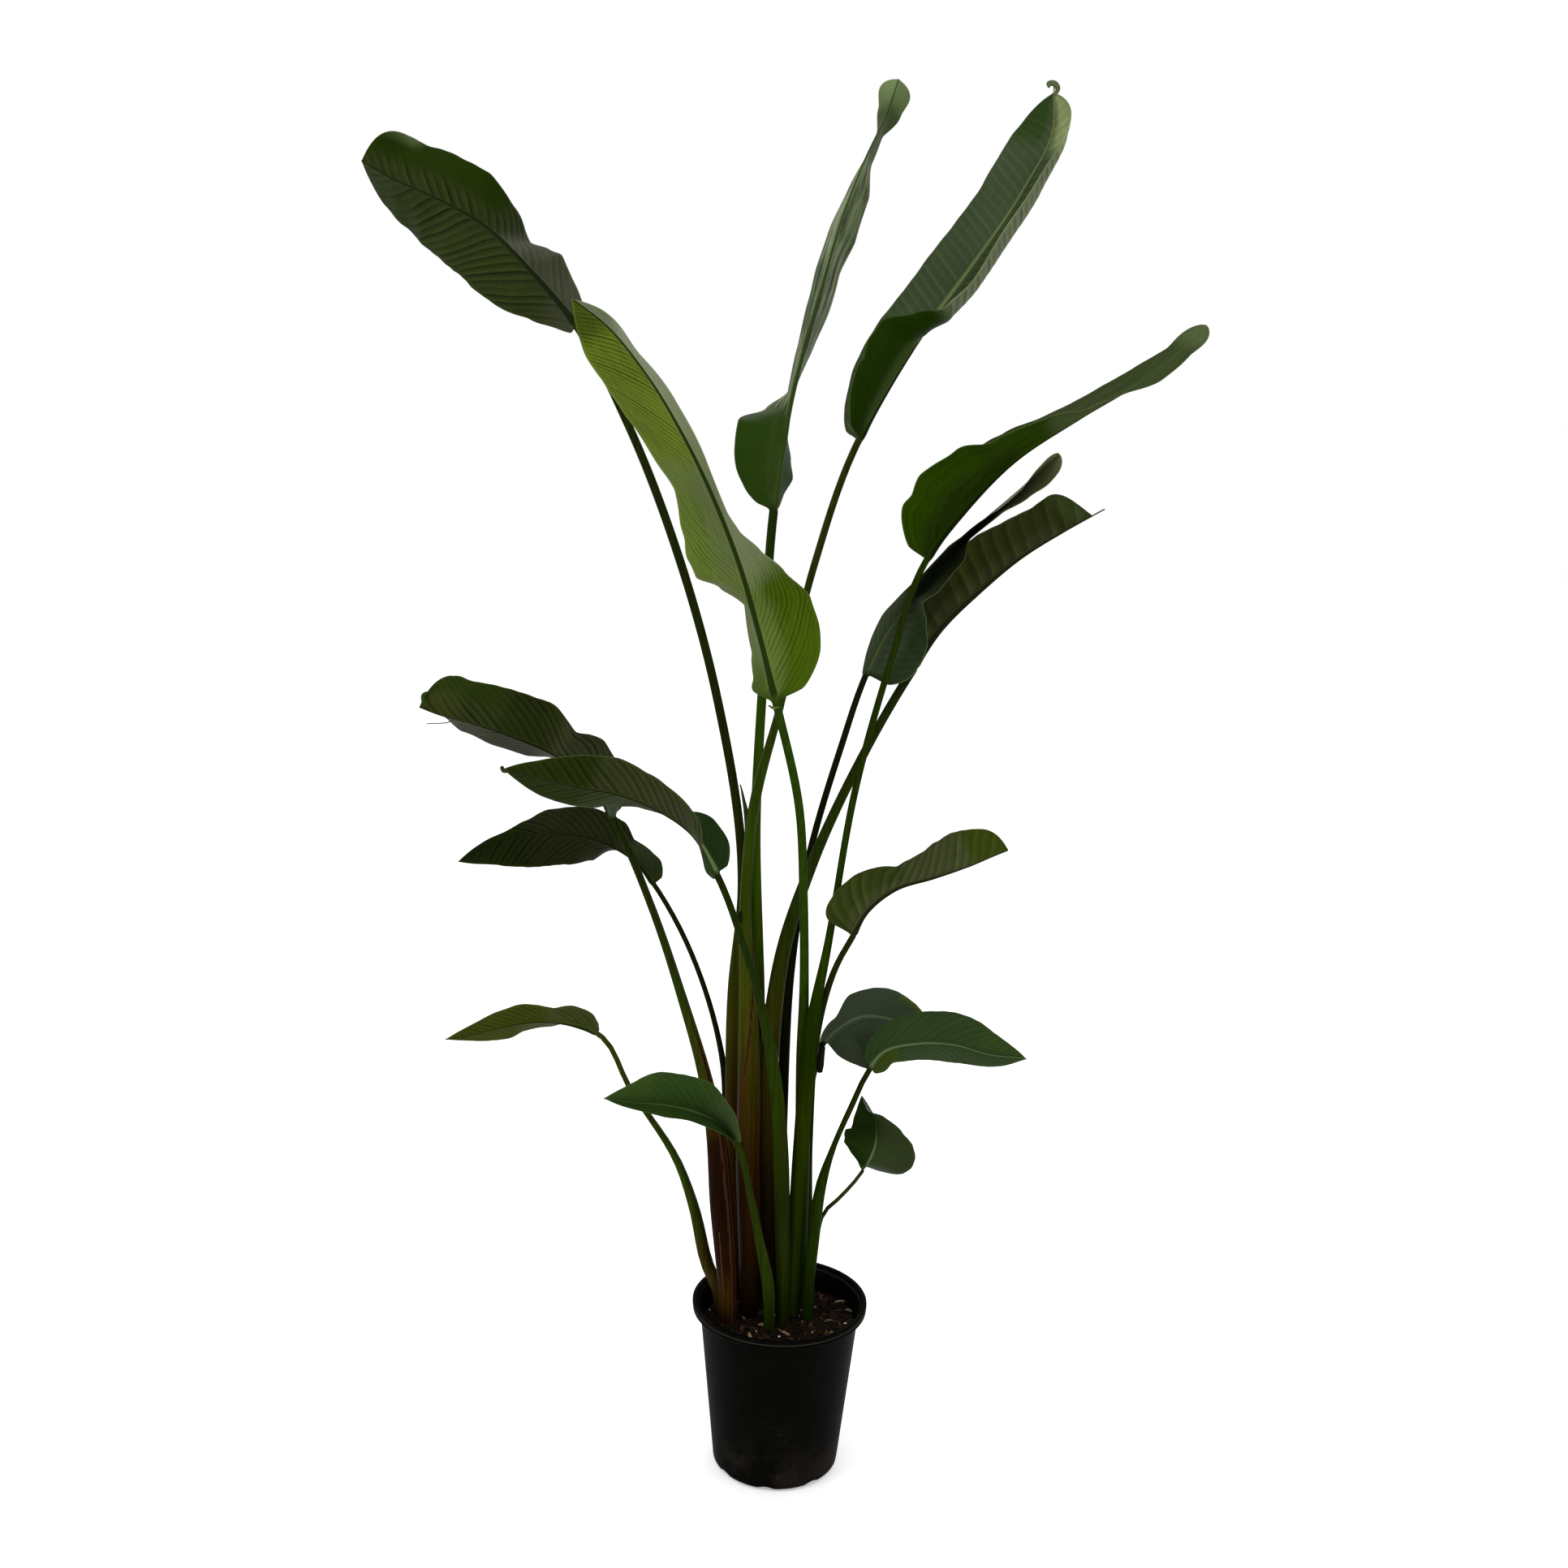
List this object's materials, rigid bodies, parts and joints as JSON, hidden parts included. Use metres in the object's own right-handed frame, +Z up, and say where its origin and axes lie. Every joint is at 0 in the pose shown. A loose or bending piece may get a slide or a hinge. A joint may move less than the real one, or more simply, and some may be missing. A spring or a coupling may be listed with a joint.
{
  "type": "potted bird of paradise plant",
  "caption": "Tall leafy house plant with long upright stalks and large paddle-shaped leaves that fan out from a plain tapered nursery pot filled with soil.",
  "frame": {"origin": "centre of the flat underside of the pot", "axes": "+Z up along the pot's axis, -Y towards the side that the picture shows, +X to the right in that view"},
  "size_m": [1.1175, 0.6084, 1.9323],
  "materials": {
    "pot_plastic": "matte near-black",
    "potting_mix": "dark brown, loose, with bark and white grains",
    "leaf_top_face": "satin deep green",
    "leaf_under_face": "satin olive green with ribbed veins",
    "leaf_bright": "satin yellow green"
  },
  "bodies": {
    "root": {"pot": "pot_plastic", "soil": "potting_mix", "leaf_upper_left": "leaf_under_face", "leaf_bright": "leaf_bright", "leaf_spire": "leaf_top_face", "leaf_upper_right": "leaf_top_face", "leaf_right_high": "leaf_under_face", "leaf_right_back": "leaf_top_face", "leaf_right_dark": "leaf_under_face", "leaf_left_top": "leaf_under_face", "leaf_left_middle": "leaf_under_face", "leaf_left_low_arch": "leaf_under_face", "leaf_left_front": "leaf_under_face", "leaf_left_small": "leaf_top_face", "leaf_right_middle": "leaf_under_face", "leaf_right_low_back": "leaf_top_face", "leaf_right_low_front": "leaf_top_face", "leaf_right_bottom": "leaf_top_face"}
  },
  "joints": []
}
